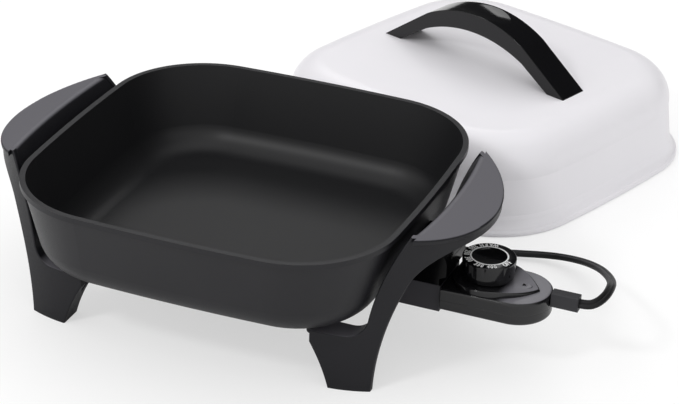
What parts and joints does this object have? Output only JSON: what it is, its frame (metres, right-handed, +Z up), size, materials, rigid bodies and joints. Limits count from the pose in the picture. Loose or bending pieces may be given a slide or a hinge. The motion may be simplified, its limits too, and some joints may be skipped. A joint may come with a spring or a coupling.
{
  "type": "electric skillet",
  "caption": "Square electric skillet with two moulded handle and leg pieces, a lift-off cover with an arched handle, and a plug-in heat control with dial, probe and short cord.",
  "frame": {"origin": "middle of the box round the skillet, heat control and cover, on the table, without the cord and its plug", "axes": "+X from the pan towards the heat control, +Y from the user towards the cover that lies behind, +Z up"},
  "size_m": [0.4692, 0.6378, 0.124],
  "materials": {
    "pan_coat": "cast aluminium under a matte charcoal nonstick coat",
    "element_sheath": "heat-dulled steel sheath",
    "pin_metal": "nickel-plated",
    "ceramic": "unglazed ceramic",
    "tube_metal": "plain aluminium",
    "handle_black": "satin black moulded phenolic",
    "guard_black": "black moulded phenolic",
    "screw_steel": "zinc-plated steel",
    "cover_white": "white enamel on drawn aluminium",
    "strap_black": "glossy black moulded phenolic",
    "control_black": "glossy black moulded phenolic",
    "lens_red": "dark red translucent lens",
    "lamp_glass": "neon lamp",
    "dial_black": "glossy black with white printing",
    "blade_bronze": "phosphor bronze",
    "contact_silver": "silver contact",
    "block_tan": "brown moulded insulator",
    "cord_black": "black heat-resistant cord jacket",
    "plug_black": "black moulded plug"
  },
  "bodies": {
    "skillet": {"pan": "pan_coat", "heating_element": "element_sheath", "terminal_pins": "pin_metal", "terminal_bushings": "ceramic", "probe_tube": "tube_metal", "terminal_guard": "guard_black", "guard_screws": "screw_steel", "handle_right": "handle_black", "handle_left": "handle_black", "handle_screws": "screw_steel"},
    "cover": {"cover_shell": "cover_white", "cover_handle": "strap_black", "cover_screws": "screw_steel", "cover_washers": "ceramic"},
    "heat_control": {"control_base": "control_black", "control_top": "control_black", "pilot_lens": "lens_red", "pilot_lamp": "lamp_glass", "control_screws": "screw_steel", "probe_sheath": "pin_metal", "probe_rod": "pin_metal", "contact_sleeves": "blade_bronze", "terminal_block": "block_tan", "thermostat_frame": "screw_steel", "blade_upper": "blade_bronze", "blade_lower": "blade_bronze", "stack_spacers": "ceramic", "stack_rivet": "screw_steel", "contact_points": "contact_silver", "strain_relief": "cord_black", "cord": "cord_black", "plug_body": "plug_black", "plug_blades": "pin_metal"},
    "dial": {"dial": "dial_black", "dial_shaft": "screw_steel"}
  },
  "joints": [
    {"name": "cover_lift", "type": "slide", "parent": "skillet", "child": "cover", "axis": [0, 0, 1], "range_m": [0, 0.2]},
    {"name": "control_unplug", "type": "slide", "parent": "skillet", "child": "heat_control", "axis": [1, 0, 0], "range_m": [0, 0.1]},
    {"name": "dial_turn", "type": "hinge", "parent": "heat_control", "child": "dial", "pos_m": [0.15659, -0.17391, 0.07], "axis": [0, 0, -1], "range_deg": [0, 300]}
  ]
}
